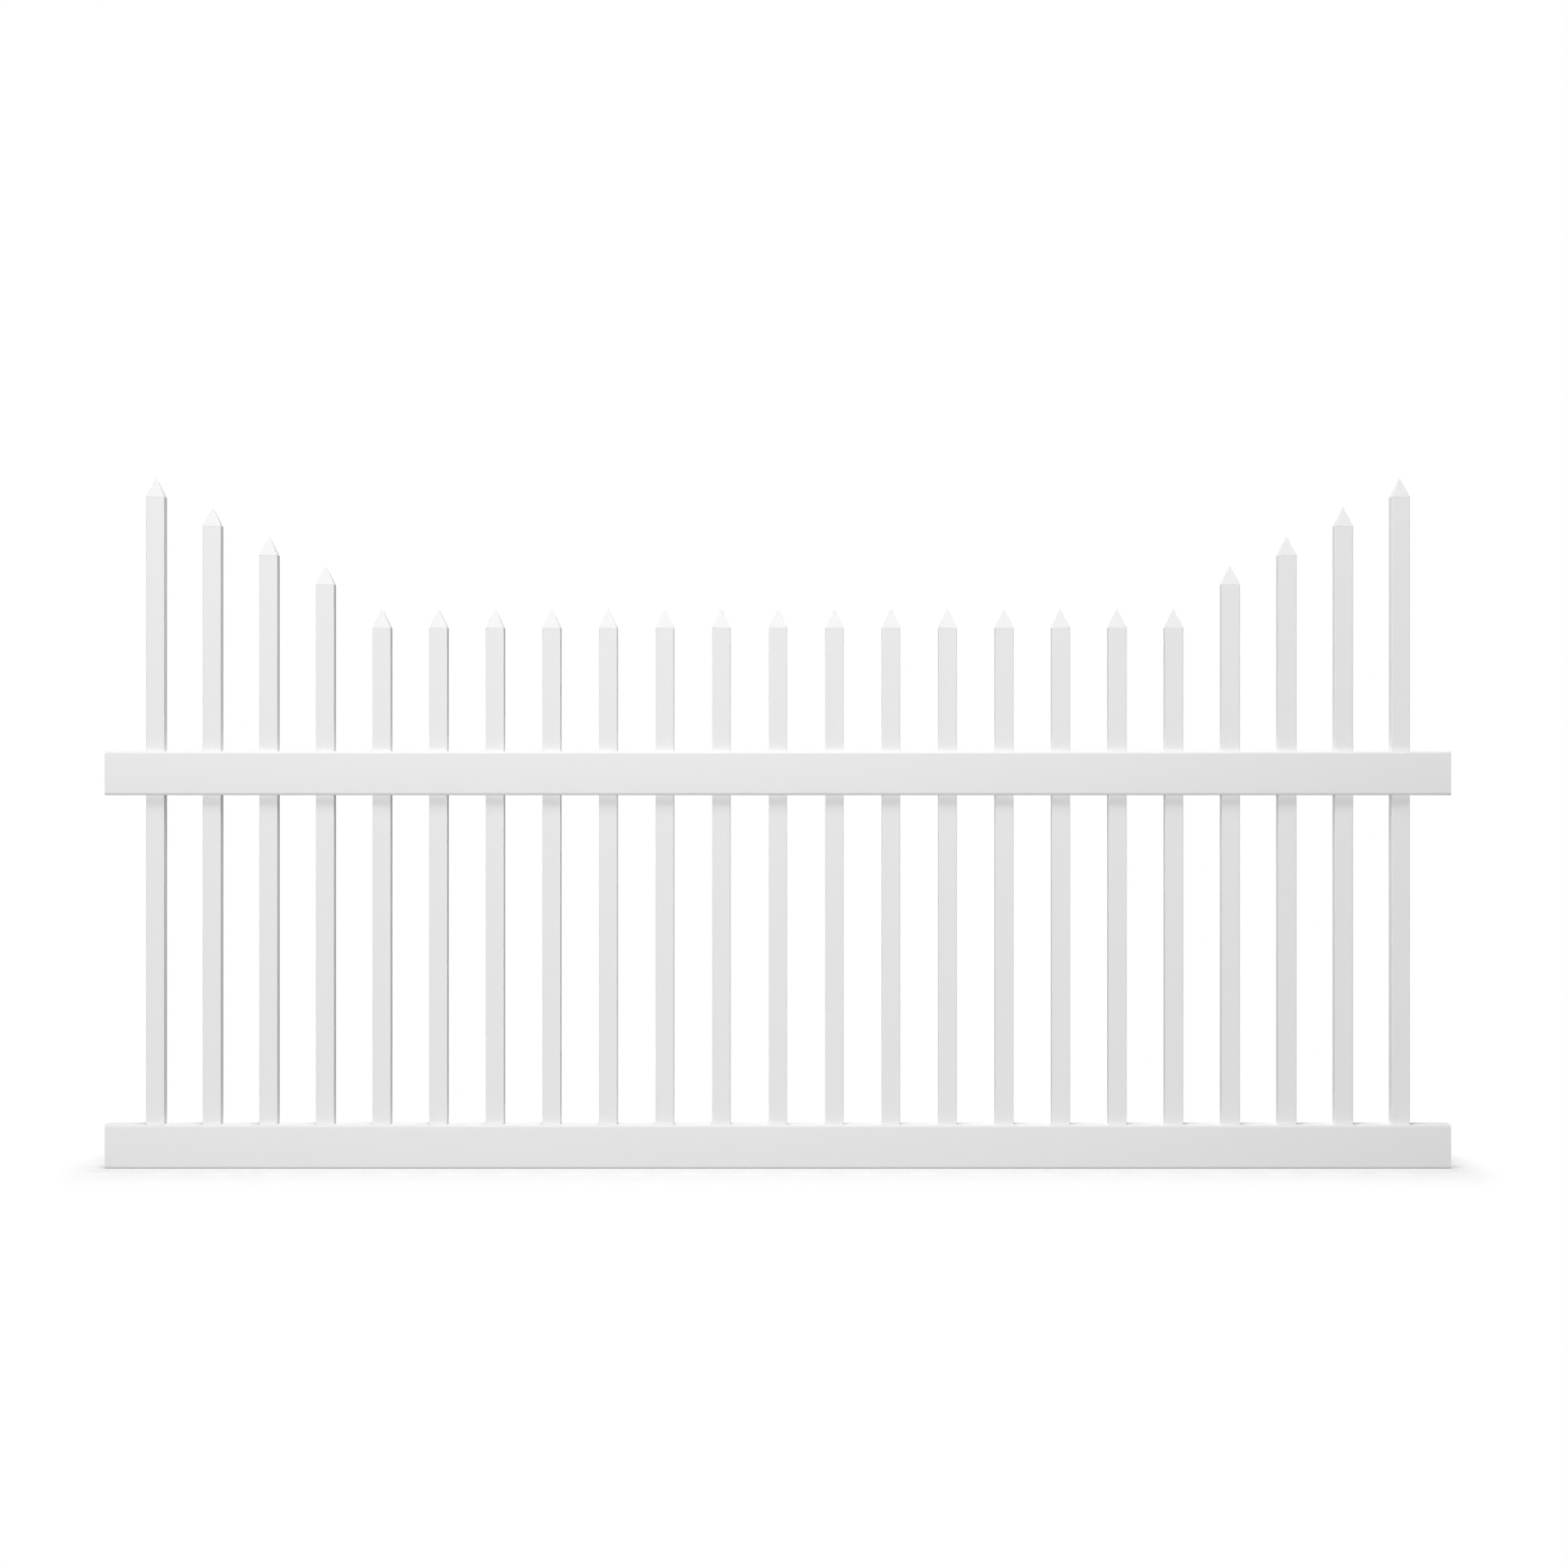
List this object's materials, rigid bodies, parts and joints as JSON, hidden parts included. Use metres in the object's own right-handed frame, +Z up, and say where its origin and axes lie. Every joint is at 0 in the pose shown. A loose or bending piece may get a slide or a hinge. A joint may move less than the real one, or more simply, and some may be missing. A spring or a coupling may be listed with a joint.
{
  "type": "picket fence panel",
  "caption": "White vinyl picket fence panel: square pickets with pyramid caps pass through two hollow rails, level in the middle and stepping up at both ends",
  "frame": {"origin": "middle of the lower edge of the bottom rail's left end face, where the panel enters its left post", "axes": "+X along the rails to the right end, +Y from front to back, +Z up"},
  "size_m": [2.413, 0.0508, 1.2395],
  "materials": {
    "rail_vinyl": "white extruded rigid PVC, satin, with faint die lines along the rail",
    "picket_vinyl": "white extruded rigid PVC, satin, with faint die lines along the picket",
    "cap_vinyl": "white injection-moulded rigid PVC, satin, slightly smoother than the extrusions"
  },
  "bodies": {
    "root": {"bottom_rail": "rail_vinyl", "top_rail": "rail_vinyl", "picket_01": "picket_vinyl", "picket_02": "picket_vinyl", "picket_03": "picket_vinyl", "picket_04": "picket_vinyl", "picket_05": "picket_vinyl", "picket_06": "picket_vinyl", "picket_07": "picket_vinyl", "picket_08": "picket_vinyl", "picket_09": "picket_vinyl", "picket_10": "picket_vinyl", "picket_11": "picket_vinyl", "picket_12": "picket_vinyl", "picket_13": "picket_vinyl", "picket_14": "picket_vinyl", "picket_15": "picket_vinyl", "picket_16": "picket_vinyl", "picket_17": "picket_vinyl", "picket_18": "picket_vinyl", "picket_19": "picket_vinyl", "picket_20": "picket_vinyl", "picket_21": "picket_vinyl", "picket_22": "picket_vinyl", "picket_23": "picket_vinyl", "picket_cap_01": "cap_vinyl", "picket_cap_02": "cap_vinyl", "picket_cap_03": "cap_vinyl", "picket_cap_04": "cap_vinyl", "picket_cap_05": "cap_vinyl", "picket_cap_06": "cap_vinyl", "picket_cap_07": "cap_vinyl", "picket_cap_08": "cap_vinyl", "picket_cap_09": "cap_vinyl", "picket_cap_10": "cap_vinyl", "picket_cap_11": "cap_vinyl", "picket_cap_12": "cap_vinyl", "picket_cap_13": "cap_vinyl", "picket_cap_14": "cap_vinyl", "picket_cap_15": "cap_vinyl", "picket_cap_16": "cap_vinyl", "picket_cap_17": "cap_vinyl", "picket_cap_18": "cap_vinyl", "picket_cap_19": "cap_vinyl", "picket_cap_20": "cap_vinyl", "picket_cap_21": "cap_vinyl", "picket_cap_22": "cap_vinyl", "picket_cap_23": "cap_vinyl"}
  },
  "joints": []
}
